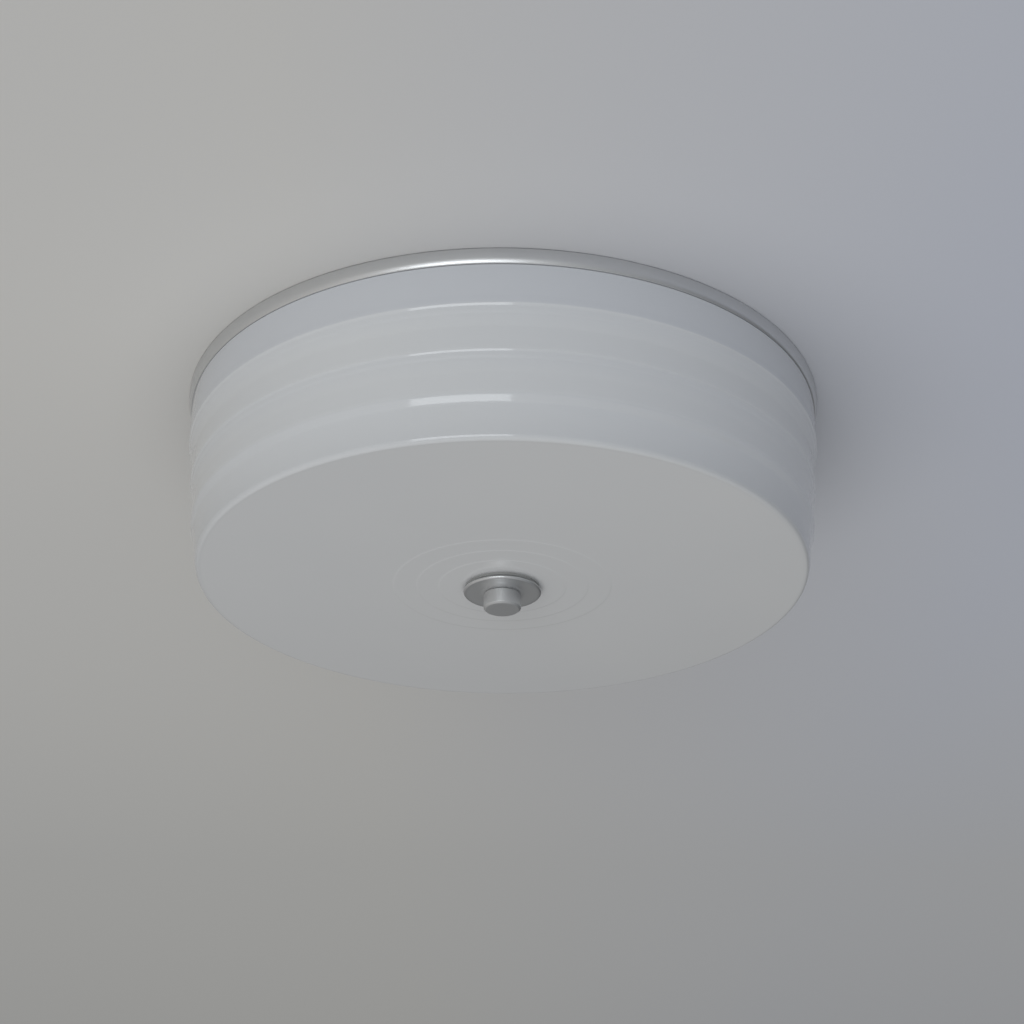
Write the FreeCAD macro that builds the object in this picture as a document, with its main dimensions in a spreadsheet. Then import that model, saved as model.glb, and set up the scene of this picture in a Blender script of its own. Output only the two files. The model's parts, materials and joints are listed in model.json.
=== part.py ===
"""Flush mount ceiling light: a spun metal pan, a rippled opal glass drum held up by
a centre rod with a turned finial, and two screw-in lamps inside.

The origin is the centre of the light on the ceiling, +Z up, so the light hangs to -Z.
Lengths are millimetres. Side a and side b are the same parts, turned half a turn
about the rod.
"""
import FreeCAD, Part
import math
import os
import re
import Sketcher

# Driving dimensions: name of the cell, value, what it measures.
SIZES = (
    ("pan_radius", 165.0, "outer edge of the pan, against the ceiling"),
    ("pan_wall", 0.8, "sheet of the pan and of its ring"),
    ("facet_height", 4.1, "sloping band at the top of the rim"),
    ("facet_inset", 0.6, "how far the band slopes in"),
    ("lip_depth", 7.6, "rolled lip below the ceiling"),
    ("lip_fold_gap", 1.8, "space between the two walls of the rolled lip"),
    ("lip_round", 2.4, "rolled outer corner of the lip"),
    ("lip_edge_round", 0.7, "inner corner of the lip"),
    ("seat_depth", 3.2, "face over the glass rim, below the ceiling"),
    ("seat_width", 9.7, "flat from the lip to the slope of the pan"),
    ("pan_rim", 4.0, "rim of the pan that lies on the ring"),
    ("slope_run", 13.0, "how far the slope runs in"),
    ("plate_depth", 21.8, "underside of the pan plate, below the ceiling"),
    ("rim_gap", 0.3, "glass rim below its seat"),
    ("neck_gap", 0.7, "glass neck inside the lip"),
    ("glass_wall", 3.5, "thickness of the glass"),
    ("rim_inset", 1.7, "how far the glass rim draws in above the neck"),
    ("shoulder_bulge", 2.3, "first ripple outside the neck"),
    ("shoulder_depth", 27.0, "first ripple below the ceiling"),
    ("shoulder_step", 2.1, "second ripple inside the first"),
    ("ripple_step", 1.0, "third ripple inside the second"),
    ("ripple_depth", 1.3, "valley inside the ripple below it"),
    ("foot_height", 23.0, "third ripple above the underside of the glass"),
    ("heel_inset", 3.1, "heel of the wall inside the third ripple"),
    ("corner_round", 5.0, "bottom corner of the glass"),
    ("crown", 1.8, "underside of the glass, edge to middle"),
    ("ring_first", 32.5, "first ring pressed in the underside"),
    ("ring_pitch", 11.5, "from ring to ring"),
    ("ring_depth", 0.25, "rings pressed in the underside"),
    ("hole_seat_radius", 22.0, "flat round the hole in the glass"),
    ("grommet_wall", 1.6, "rubber sleeve in the hole"),
    ("grommet_flange", 5.0, "rubber flange beyond the hole"),
    ("rubber_thickness", 1.2, "rubber flange and washer"),
    ("soft_gap", 0.3, "running space round the rod"),
    ("rod_radius", 3.175, "threaded centre rod"),
    ("thread_gap", 0.08, "space between a thread and its nut"),
    ("rod_end_spare", 2.0, "rod above its upper nut"),
    ("rod_engagement", 6.3, "rod inside the finial"),
    ("nut_flats", 11.1, "rod nut across flats"),
    ("nut_height", 4.0, "rod nut"),
    ("washer_rim", 2.6, "washer beyond the rod"),
    ("washer_thickness", 1.0, "rod washer"),
    ("washer_radius", 18.6, "rubber washer over the cap"),
    ("cap_radius", 19.8, "round cap under the glass"),
    ("cap_thickness", 2.6, "round cap"),
    ("cap_round", 1.1, "lower edge of the cap"),
    ("knob_radius", 9.5, "finial"),
    ("knob_height", 8.7, "finial below the cap"),
    ("knob_neck_inset", 0.9, "shadow groove over the finial"),
    ("knob_neck_height", 0.8, "shadow groove over the finial"),
    ("knob_chamfer", 0.9, "lower edge of the finial"),
    ("knob_hole_spare", 0.5, "thread beyond the end of the rod"),
    ("globe_radius", 30.0, "lamp globe"),
    ("lamp_length", 108.0, "lamp from contact to tip"),
    ("lamp_room", 5.85, "free space above and below a lamp"),
    ("lamp_gap", 8.8, "free space between rod and lamp"),
    ("globe_wall", 1.4, "lamp globe"),
    ("globe_mouth_radius", 24.0, "where the globe meets the housing"),
    ("housing_neck_radius", 14.5, "lamp housing at its screw cap"),
    ("board_thickness", 1.6, "light board"),
    ("board_gap", 0.4, "light board inside the globe"),
    ("screw_cap_radius", 13.1, "crest of the lamp's screw thread"),
    ("thread_height", 0.5, "crest to valley of the lamp's thread"),
    ("thread_pitch", 3.63, "lamp's thread"),
    ("screw_cap_length", 22.0, "lamp's screw cap"),
    ("cap_wall", 0.4, "sheet of the lamp's screw cap"),
    ("insulator_height", 4.0, "from contact to screw cap"),
    ("contact_radius", 4.5, "lamp's end contact"),
    ("contact_height", 1.2, "lamp's end contact"),
    ("shell_gap", 0.3, "lamp's thread inside the screw shell"),
    ("shell_wall", 0.45, "sheet of the screw shell"),
    ("shell_flange_hole", 8.0, "hole in the floor of the screw shell"),
    ("holder_gap", 0.2, "screw shell inside the lampholder"),
    ("holder_wall", 2.4, "side wall of the lampholder"),
    ("holder_floor", 8.0, "back wall of the lampholder"),
    ("holder_lip", 2.0, "lampholder beyond the screw shell"),
    ("shell_length", 24.0, "screw shell"),
    ("leaf_thickness", 0.5, "spring contact"),
    ("leaf_width", 6.0, "spring contact"),
    ("leaf_foot", 6.5, "half the length of the spring contact"),
    ("leaf_crown", 2.5, "half the length of its raised middle"),
    ("leaf_rise", 1.2, "raised middle of the spring contact"),
    ("contact_gap", 0.3, "lamp's contact before the spring contact"),
    ("bracket_wall", 1.2, "sheet of the holder bracket"),
    ("bracket_width", 26.0, "holder bracket"),
    ("bracket_foot", 18.0, "foot of the bracket along the pan plate"),
    ("bracket_below", 15.0, "bracket below the lamp's middle"),
    ("rivet_setback", 9.0, "rivets from the back of the holder"),
    ("rivet_spread", 8.0, "rivets to each side of the bracket's middle"),
    ("rivet_radius", 1.6, "shank of a bracket rivet"),
    ("rivet_head_radius", 3.0, "head of a bracket rivet"),
    ("rivet_head_height", 1.1, "head of a bracket rivet"),
    ("fit_gap", 0.05, "shank inside its hole"),
    ("holder_screw_spread", 11.0, "holder screws from the holder's middle"),
    ("holder_screw_radius", 1.5, "shank of a holder screw"),
    ("holder_screw_head", 2.8, "head of a holder screw"),
    ("holder_screw_reach", 5.5, "holder screw inside the back wall"),
    ("screw_head_height", 2.2, "head of a small screw"),
    ("lead_radius", 1.2, "insulated lead"),
    ("lead_spacing", 3.0, "from lead to lead, side by side"),
    ("lead_bend", 5.2, "tightest bend of a lead"),
    ("lead_standoff", 14.0, "leads turn up this far behind the holder"),
    ("lead_hole_radius", 5.0, "hole in the bracket for the leads"),
    ("bushing_wall", 1.2, "sleeve of the lead bushing"),
    ("bushing_clear", 0.6, "leads inside the bushing"),
    ("bushing_flange", 1.7, "flange of the bushing beyond its sleeve"),
    ("bushing_flange_height", 1.2, "flange of the bushing"),
    ("connector_radius", 6.5, "wire connector at its mouth"),
    ("connector_tip_radius", 4.2, "wire connector at its tip"),
    ("connector_length", 22.0, "wire connector"),
    ("connector_cavity_radius", 4.3, "mouth of the wire connector"),
    ("connector_cavity_depth", 7.0, "leads inside the wire connector"),
    ("connector_offset", 30.0, "wire connectors from the middle"),
    ("connector_mouth", 14.0, "mouths of the connectors from the middle"),
    ("far_lead_reach", 46.0, "where the far leads cross under the strap"),
    ("near_lead_bend", 42.0, "where the near leads leave their straight run"),
    ("near_lead_entry", 26.0, "where the near leads face the connector"),
    ("wire_lift", 0.3, "wire connectors above the pan plate"),
    ("strap_wall", 1.5, "mounting strap"),
    ("strap_width", 22.0, "mounting strap"),
    ("strap_flat", 50.0, "half the strap's flat middle"),
    ("strap_step_run", 3.0, "run of the strap's bend"),
    ("strap_step", 5.0, "strap's ends below its middle"),
    ("strap_end", 13.0, "flat end of the strap"),
    ("slot_spacing", 79.4, "between the middles of the box screw slots"),
    ("slot_length", 14.2, "box screw slot, end to end"),
    ("slot_radius", 2.3, "half the width of a box screw slot"),
    ("fixture_screw_radius", 2.1, "shank of a fixture screw"),
    ("fixture_head_radius", 4.0, "head of a fixture screw"),
    ("fixture_head_height", 2.3, "head of a fixture screw"),
    ("fixture_hole_gap", 0.5, "fixture screw in the pan plate"),
    ("thimble_radius", 6.0, "thimble nut"),
    ("thimble_height", 9.5, "thimble nut"),
    ("thimble_round", 1.5, "lower edge of the thimble nut"),
    ("thimble_thread", 7.0, "fixture screw inside the thimble nut"),
    ("thimble_spare", 0.6, "thread beyond the end of the fixture screw"),
    ("ground_place", 27.0, "ground screw along the strap"),
    ("ground_head_radius", 4.0, "head of the ground screw"),
    ("ground_head_height", 2.6, "head of the ground screw"),
    ("ground_wire_radius", 0.9, "bare ground lead"),
    ("ground_wire_gap", 0.15, "ground lead above and below, under its screw"),
    ("terminal_thickness", 0.8, "ring terminal"),
    ("terminal_barrel_radius", 1.7, "barrel of the ring terminal"),
    ("terminal_barrel_start", 8.5, "barrel from the rod's middle"),
    ("terminal_barrel_length", 5.0, "barrel of the ring terminal"),
    ("ground_rise", 18.5, "where the ground lead turns up"),
    ("pad_width", 22.0, "insulation ring"),
    ("pad_margin", 4.0, "insulation ring inside the slope of the pan"),
    ("pad_thickness", 9.0, "insulation ring"),
)

# Radii and heights worked out from the driving dimensions, as formulas of their names.
PLACES = {
    "lip_radius": "pan_radius - facet_inset",
    "lip_inner": "lip_radius - 2 * pan_wall - lip_fold_gap",
    "seat_inner": "lip_inner - seat_width",
    "seat_top": "-seat_depth + pan_wall",
    "plate_radius": "seat_inner - slope_run",
    "plate_under": "-plate_depth",
    "plate_top": "-plate_depth + pan_wall",
    "glass_hole": "rod_radius + soft_gap + grommet_wall + fit_gap",
    "glass_depth": "plate_depth + 2 * lamp_room + 2 * globe_radius + glass_wall",
    "glass_under": "-glass_depth",
    "glass_floor": "-glass_depth + glass_wall",
    "washer_under": "glass_under - rubber_thickness",
    "cap_under": "washer_under - cap_thickness",
    "knob_under": "cap_under - knob_height",
    "rod_bottom": "cap_under - rod_engagement",
    "terminal_under": "plate_top + washer_thickness",
    "upper_nut_under": "terminal_under + terminal_thickness",
    "rod_top": "upper_nut_under + nut_height + rod_end_spare",
    "lamp_level": "-(plate_depth + lamp_room + globe_radius)",
    "lamp_offset": "rod_radius + lamp_gap + globe_radius",
    "lamp_start": "holder_floor + leaf_rise + leaf_thickness + contact_gap",
    "holder_back": "(lamp_start + lamp_length) / 2",
    "shell_inner": "screw_cap_radius + shell_gap",
    "shell_outer": "shell_inner + thread_height + shell_wall",
    "holder_inner": "shell_outer + holder_gap",
    "holder_radius": "holder_inner + holder_wall",
    "holder_length": "holder_floor + shell_length + holder_lip",
    "rivet_place": "holder_back - rivet_setback",
    "bushing_place": "holder_back + lead_standoff",
    "bushing_inner": "lead_spacing / 2 + lead_radius + bushing_clear",
    "bushing_outer": "bushing_inner + bushing_wall",
    "wire_level": "plate_top + wire_lift + connector_radius",
    "fixture_place": "strap_flat + strap_step_run + strap_end / 2",
    "fixture_seat": "-strap_step",
    "fixture_bottom": "plate_under - thimble_thread",
    "ground_wire_level": "-strap_wall - ground_wire_gap - ground_wire_radius",
    "ground_head_top": "-strap_wall - 2 * ground_wire_gap - 2 * ground_wire_radius",
    "terminal_level": "terminal_under + terminal_barrel_radius",
    "globe_centre": "lamp_length - globe_radius",
    "globe_mouth": "globe_centre - sqrt(globe_radius ^ 2 - globe_mouth_radius ^ 2)",
    "board_radius": "globe_mouth_radius - globe_wall - board_gap",
    "housing_start": "insulator_height + screw_cap_length",
    "pad_outer": "plate_radius - pad_margin",
}

SIDES = (("a", 1, 0.0), ("b", -1, 180.0))
UPRIGHT = FreeCAD.Rotation()
ALONG_X = FreeCAD.Rotation(FreeCAD.Vector(0, 1, 0), 90)
CELLS = {name for name, number, note in SIZES}

doc = FreeCAD.newDocument("flush_mount_light")
sheet = doc.addObject("Spreadsheet::Sheet", "sizes")
NODES = []


def fill_sheet():
    """One row for each driving dimension: its value, under its name, and what it measures."""
    for row, (name, number, note) in enumerate(SIZES, start=1):
        sheet.set(f"A{row}", note)
        sheet.set(f"B{row}", str(number))
        sheet.setAlias(f"B{row}", name)
    doc.recompute()


def formula(text):
    """Spell a formula of size and place names out in the cells of the sheet."""
    def spell(match):
        word = match.group(0)
        if word in PLACES:
            return "(" + formula(PLACES[word]) + ")"
        return "sizes." + word if word in CELLS else word
    return re.sub(r"[a-z_]+", spell, str(text))


def number(text):
    """The value of a formula."""
    return float(sheet.evalExpression(formula(text)))


def node(thing, label):
    """Give a finished sub-part its name and list it for writing."""
    thing.Label = label
    NODES.append(thing)
    return thing


def put(thing, place, turn=UPRIGHT):
    """Turn an object and bind its place to three formulas."""
    thing.Placement = FreeCAD.Placement(FreeCAD.Vector(), turn)
    for letter, text in zip("xyz", place):
        thing.setExpression("Placement.Base." + letter, formula(text))
    return thing


def half_turn(angle, turn=UPRIGHT):
    """A rotation, carried round the rod with the side it belongs to."""
    return FreeCAD.Rotation(FreeCAD.Vector(0, 0, 1), angle).multiply(turn)


def new_body(name, place=("0", "0", "0"), turn=UPRIGHT):
    """An empty body in its place."""
    return put(doc.addObject("PartDesign::Body", name), place, turn)


def new_sketch(body, name, role):
    """An empty sketch on one of the body's own origin planes."""
    sketch = body.newObject("Sketcher::SketchObject", name)
    for plane in body.Origin.OriginFeatures:
        if plane.Role == role:
            sketch.AttachmentSupport = [(plane, "")]
    sketch.MapMode = "FlatFace"
    return sketch


def pin(sketch, edge, end, across, up):
    """Hold one point of a sketch at two bound distances from the sketch's origin."""
    for kind, text in (("DistanceX", across), ("DistanceY", up)):
        at = sketch.addConstraint(Sketcher.Constraint(kind, -1, 1, edge, end, number(text)))
        sketch.setExpression(f"Constraints[{at}]", formula(text))


def outline(sketch, points):
    """A closed outline of straight edges through points given as pairs of formulas."""
    corners = [FreeCAD.Vector(number(across), number(up), 0) for across, up in points]
    count = len(corners)
    for step in range(count):
        sketch.addGeometry(Part.LineSegment(corners[step], corners[(step + 1) % count]), False)
    for step in range(count):
        after = (step + 1) % count
        sketch.addConstraint(Sketcher.Constraint("Coincident", step, 2, after, 1))
        pin(sketch, step, 1, *points[step])


def circles(sketch, rounds):
    """Separate circles, each given by formulas of its middle and radius."""
    up = FreeCAD.Vector(0, 0, 1)
    for across, along, radius in rounds:
        middle = FreeCAD.Vector(number(across), number(along), 0)
        edge = sketch.addGeometry(Part.Circle(middle, up, number(radius)), False)
        pin(sketch, edge, 3, across, along)
        at = sketch.addConstraint(Sketcher.Constraint("Radius", edge, number(radius)))
        sketch.setExpression(f"Constraints[{at}]", formula(radius))


def turn_outline(body, points):
    """Turn an outline of (radius, height) points a full turn about the body's own Z."""
    sketch = new_sketch(body, body.Name + "_outline", "XZ_Plane")
    outline(sketch, points)
    turned = body.newObject("PartDesign::Revolution", body.Name + "_turned")
    turned.Profile = sketch
    turned.ReferenceAxis = (sketch, ["V_Axis"])
    turned.Angle = 360
    sketch.Visibility = False
    doc.recompute()
    return body


def turned_body(name, points, place=("0", "0", "0"), turn=UPRIGHT):
    """A round piece: its outline turned about its own axis."""
    return turn_outline(new_body(name, place, turn), points)


def pad_outline(body, points, role, length):
    """Thicken an outline evenly to both sides of its plane."""
    sketch = new_sketch(body, body.Name + "_outline", role)
    outline(sketch, points)
    pad = body.newObject("PartDesign::Pad", body.Name + "_pad")
    pad.Profile = sketch
    pad.SideType = "Symmetric"
    pad.setExpression("Length", formula(length))
    doc.recompute()
    return body


def cut_through(body, name, sketch):
    """Cut a sketch through everything and make sure that it took something away."""
    before = body.Shape.Volume
    pocket = body.newObject("PartDesign::Pocket", name)
    pocket.Profile = sketch
    pocket.SideType = "Symmetric"
    pocket.Type = "ThroughAll"
    doc.recompute()
    if not body.Shape.Volume < before:
        raise RuntimeError(f"{name} cuts nothing")


def cut_holes(body, name, rounds, role="XY_Plane"):
    """Round holes through a body."""
    sketch = new_sketch(body, name + "_holes", role)
    circles(sketch, rounds)
    cut_through(body, name, sketch)


def round_rims(body, name, kind, size, rims):
    """Round or chamfer the circular edges that have these radii and heights."""
    wanted = [(number(radius), number(height)) for radius, height in rims]
    base = body.Tip
    own = base.Shape
    names = []
    for index, edge in enumerate(own.Edges, start=1):
        curve = edge.Curve
        if not isinstance(curve, Part.Circle):
            continue
        for radius, height in wanted:
            if abs(curve.Radius - radius) < 1e-4 and abs(curve.Center.z - height) < 1e-4:
                names.append(f"Edge{index}")
    if len(names) != len(wanted):
        raise RuntimeError(f"{name} finds {len(names)} of {len(wanted)} rims")
    feature = body.newObject("PartDesign::" + kind, name)
    feature.Base = (base, names)
    feature.setExpression("Radius" if kind == "Fillet" else "Size", formula(size))
    doc.recompute()


def tube(inner, outer, low, high):
    """Outline of a plain ring or sleeve."""
    return [(inner, low), (outer, low), (outer, high), (inner, high)]


def headed(shank, head, bottom, seat, top):
    """Outline of a screw or rivet that stands on its end, with its head on top."""
    return [("0", bottom), (shank, bottom), (shank, seat), (head, seat), (head, top), ("0", top)]


def group(label, members):
    """One node that holds several separate solids of one kind."""
    together = doc.addObject("Part::Compound", label)
    together.Links = members
    doc.recompute()
    return node(together, label)


def hex_nut(name, low):
    """A hexagon nut on the rod, its underside at a given height."""
    blank = doc.addObject("Part::Prism", name + "_blank")
    blank.Polygon = 6
    blank.setExpression("Circumradius", formula("nut_flats / sqrt(3)"))
    blank.setExpression("Height", formula("nut_height"))
    hole = doc.addObject("Part::Cylinder", name + "_hole")
    hole.setExpression("Radius", formula("rod_radius + thread_gap"))
    hole.setExpression("Height", formula("nut_height"))
    nut = doc.addObject("Part::Cut", name)
    nut.Base = blank
    nut.Tool = hole
    return put(nut, ("0", "0", low))


def rounded_path(points, bends):
    """Straight runs through the points, joined by tangent arcs: one radius for each corner."""
    edges = []
    start = points[0]
    for before, corner, after, bend in zip(points, points[1:], points[2:], bends):
        inward = (before - corner).normalize()
        onward = (after - corner).normalize()
        half = inward.getAngle(onward) / 2
        reach = bend / math.tan(half)
        middle = corner + (inward + onward).normalize() * (bend / math.sin(half) - bend)
        first = corner + inward * reach
        last = corner + onward * reach
        edges.append(Part.LineSegment(start, first).toShape())
        edges.append(Part.Arc(first, middle, last).toShape())
        start = last
    edges.append(Part.LineSegment(start, points[-1]).toShape())
    return Part.Wire(edges)


def wire(label, texts, radius, angle=0.0):
    """A round wire along a path, each bend the usual one or as large as its two runs allow."""
    points = [FreeCAD.Vector(*(number(text) for text in place)) for place in texts]
    runs = [(after - before).Length for before, after in zip(points, points[1:])]
    bends = []
    for corner in range(1, len(points) - 1):
        opening = (points[corner - 1] - points[corner]).getAngle(points[corner + 1] - points[corner])
        widest = 0.45 * min(runs[corner - 1], runs[corner]) * math.tan(opening / 2)
        bends.append(min(widest, number("lead_bend")))
    path = rounded_path(points, bends)
    section = Part.Wire(Part.Circle(points[0], points[1] - points[0], number(radius)).toShape())
    lead = path.makePipeShell([section], True, False)
    expected = math.pi * number(radius) ** 2 * path.Length
    if abs(lead.Volume - expected) > 0.01 * expected:
        raise RuntimeError(f"{label} has the wrong volume")
    print(label, "bend radii", [round(bend, 1) for bend in bends])
    feature = doc.addObject("Part::Feature", label)
    feature.Shape = lead
    feature.Placement = FreeCAD.Placement(FreeCAD.Vector(), half_turn(angle))
    return node(feature, label)


def make_trim_ring():
    """Spun ring round the pan: sloping band, rolled lip, and a flange in over the glass rim."""
    points = [
        ("pan_radius", "0"),
        ("lip_radius", "-facet_height"),
        ("lip_radius", "-lip_depth"),
        ("lip_inner", "-lip_depth"),
        ("lip_inner", "-seat_depth"),
        ("seat_inner + rim_gap", "-seat_depth"),
        ("seat_inner + rim_gap", "seat_top"),
        ("lip_inner + pan_wall", "seat_top"),
        ("lip_inner + pan_wall", "-lip_depth + pan_wall"),
        ("lip_radius - lip_round", "-lip_depth + pan_wall"),
        ("lip_radius - pan_wall", "-lip_depth + lip_round"),
        ("lip_radius - pan_wall", "-facet_height"),
        ("pan_radius - pan_wall", "0"),
    ]
    body = turned_body("trim_ring", points)
    round_rims(body, "lip_roll", "Fillet", "lip_round", [("lip_radius", "-lip_depth")])
    round_rims(body, "lip_edge", "Fillet", "lip_edge_round", [("lip_inner", "-lip_depth")])
    node(body, "trim_ring")


def make_pan():
    """Pan: rim that lies on the ring's flange, slope down to the plate, holes in the plate."""
    points = [
        ("seat_inner + pan_rim", "seat_top"),
        ("seat_inner", "seat_top"),
        ("plate_radius", "plate_under"),
        ("rod_radius + thread_gap", "plate_under"),
        ("rod_radius + thread_gap", "plate_top"),
        ("plate_radius - pan_wall / 2", "plate_top"),
        ("seat_inner - pan_wall / 2", "seat_top + pan_wall"),
        ("seat_inner + pan_rim", "seat_top + pan_wall"),
    ]
    body = turned_body("ceiling_pan", points)
    holes = []
    for side, sign, angle in SIDES:
        holes.append((f"{sign} * fixture_place", "0", "fixture_screw_radius + fixture_hole_gap"))
        holes.append((f"{-sign} * bushing_place", f"{sign} * lamp_offset", "bushing_outer + fit_gap"))
        for spread in ("rivet_spread", "-rivet_spread"):
            across = f"{-sign} * rivet_place"
            along = f"{sign} * (lamp_offset + {spread})"
            holes.append((across, along, "rivet_radius + fit_gap"))
    cut_holes(body, "plate_holes", holes)
    node(body, "ceiling_pan")


def make_insulation_pad():
    """Ring of insulation on the pan plate, behind the lamps."""
    points = tube("pad_outer - pad_width", "pad_outer", "plate_top", "plate_top + pad_thickness")
    node(turned_body("insulation_pad", points), "insulation_pad")


def slot(sketch, middle):
    """A slot along X round a middle point: two lines, two arcs, tangent all round."""
    start, half, radius = number(middle), number("slot_length / 2 - slot_radius"), number("slot_radius")
    left, right = FreeCAD.Vector(start - half, 0, 0), FreeCAD.Vector(start + half, 0, 0)
    rise, up = FreeCAD.Vector(0, radius, 0), FreeCAD.Vector(0, 0, 1)
    quarter = math.pi / 2
    top = sketch.addGeometry(Part.LineSegment(right + rise, left + rise), False)
    turn_left = sketch.addGeometry(
        Part.ArcOfCircle(Part.Circle(left, up, radius), quarter, 3 * quarter), False)
    low = sketch.addGeometry(Part.LineSegment(left - rise, right - rise), False)
    turn_right = sketch.addGeometry(
        Part.ArcOfCircle(Part.Circle(right, up, radius), -quarter, quarter), False)
    for first, after in ((top, turn_left), (turn_left, low), (low, turn_right), (turn_right, top)):
        sketch.addConstraint(Sketcher.Constraint("Tangent", first, 2, after, 1))
    pin(sketch, turn_left, 3, f"{middle} - slot_length / 2 + slot_radius", "0")
    pin(sketch, turn_right, 3, f"{middle} + slot_length / 2 - slot_radius", "0")
    at = sketch.addConstraint(Sketcher.Constraint("Radius", turn_left, radius))
    sketch.setExpression(f"Constraints[{at}]", formula("slot_radius"))
    sketch.addConstraint(Sketcher.Constraint("Equal", turn_left, turn_right))


def make_strap():
    """Stepped steel strap across the ceiling box, with its slots and tapped holes."""
    step = "strap_flat + strap_step_run"
    end = step + " + strap_end"
    top = [("strap_flat", "0"), (step, "-strap_step"), (end, "-strap_step")]
    under = [(across, height + " - strap_wall") for across, height in reversed(top)]
    right = top + under
    left = [(f"-({across})", height) for across, height in reversed(right)]
    body = pad_outline(new_body("mounting_strap"), right + left, "XZ_Plane", "strap_width")
    sketch = new_sketch(body, "box_screw_slots", "XY_Plane")
    for middle in ("slot_spacing / 2", "-slot_spacing / 2"):
        slot(sketch, middle)
    cut_through(body, "slots", sketch)
    shank = "fixture_screw_radius + fit_gap"
    holes = [("fixture_place", "0", shank), ("-fixture_place", "0", shank), ("ground_place", "0", shank)]
    cut_holes(body, "tapped_holes", holes)
    node(body, "mounting_strap")


def make_fixture_fasteners():
    """Two screws that hang from the strap, and the thimble nuts that hold the pan on them."""
    points = headed("fixture_screw_radius", "fixture_head_radius", "fixture_bottom",
                    "fixture_seat", "fixture_seat + fixture_head_height")
    low = "plate_under - thimble_height"
    bore = "fixture_screw_radius + fit_gap"
    nut = [("0", low), ("thimble_radius", low), ("thimble_radius", "plate_under"),
           (bore, "plate_under"), (bore, "fixture_bottom - thimble_spare"),
           ("0", "fixture_bottom - thimble_spare")]
    screws = []
    nuts = []
    for side, sign, angle in SIDES:
        place = (f"{sign} * fixture_place", "0", "0")
        screws.append(turned_body("fixture_screw_" + side, points, place))
        thimble = turned_body("thimble_nut_" + side, nut, place)
        round_rims(thimble, "thimble_rounding_" + side, "Fillet", "thimble_round",
                   [("thimble_radius", low)])
        nuts.append(thimble)
    group("fixture_screws", screws)
    group("thimble_nuts", nuts)


def make_ground():
    """Ground screw in the strap, ring terminal under the rod's upper nut, bare lead between."""
    screw = [("0", "ground_head_top - ground_head_height"),
             ("ground_head_radius", "ground_head_top - ground_head_height"),
             ("ground_head_radius", "ground_head_top"),
             ("fixture_screw_radius", "ground_head_top"),
             ("fixture_screw_radius", "0"),
             ("0", "0")]
    node(turned_body("ground_screw", screw, ("ground_place", "0", "0")), "ground_screw")
    ring = doc.addObject("Part::Cylinder", "terminal_ring")
    ring.setExpression("Radius", formula("rod_radius + washer_rim"))
    ring.setExpression("Height", formula("terminal_thickness"))
    tab = put(doc.addObject("Part::Box", "terminal_tab"), ("0", "-terminal_barrel_radius", "0"))
    tab.setExpression("Length", formula("terminal_barrel_start + terminal_barrel_length"))
    tab.setExpression("Width", formula("2 * terminal_barrel_radius"))
    tab.setExpression("Height", formula("terminal_thickness"))
    barrel = doc.addObject("Part::Cylinder", "terminal_barrel")
    barrel.setExpression("Radius", formula("terminal_barrel_radius"))
    barrel.setExpression("Height", formula("terminal_barrel_length"))
    put(barrel, ("terminal_barrel_start", "0", "terminal_barrel_radius"), ALONG_X)
    blank = doc.addObject("Part::MultiFuse", "terminal_blank")
    blank.Shapes = [ring, tab, barrel]
    hole = doc.addObject("Part::Cylinder", "terminal_hole")
    hole.setExpression("Radius", formula("rod_radius + thread_gap"))
    hole.setExpression("Height", formula("2 * terminal_barrel_radius"))
    terminal = doc.addObject("Part::Cut", "ground_terminal")
    terminal.Base = blank
    terminal.Tool = hole
    node(put(terminal, ("0", "0", "terminal_under")), "ground_terminal")
    end = "ground_place - fixture_screw_radius - ground_wire_gap"
    route = [("terminal_barrel_start + terminal_barrel_length", "0", "terminal_level"),
             ("ground_rise", "0", "terminal_level"),
             ("ground_rise", "0", "ground_wire_level"),
             (end, "0", "ground_wire_level")]
    wire("ground_lead", route, "ground_wire_radius")


def make_rod():
    """Threaded centre rod, clamped to the pan plate between two washers and two nuts."""
    rod = turned_body("center_rod", tube("0", "rod_radius", "rod_bottom", "rod_top"))
    round_rims(rod, "rod_ends", "Chamfer", "rod_radius / 6",
               [("rod_radius", "rod_bottom"), ("rod_radius", "rod_top")])
    node(rod, "center_rod")
    under = "plate_under - washer_thickness"
    washers = []
    for name, low in (("upper_washer", "plate_top"), ("lower_washer", under)):
        points = tube("rod_radius + thread_gap", "rod_radius + washer_rim", low,
                      low + " + washer_thickness")
        washers.append(turned_body(name, points))
    group("rod_washers", washers)
    nuts = [hex_nut("upper_nut", "upper_nut_under"), hex_nut("lower_nut", under + " - nut_height")]
    group("rod_nuts", nuts)


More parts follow.
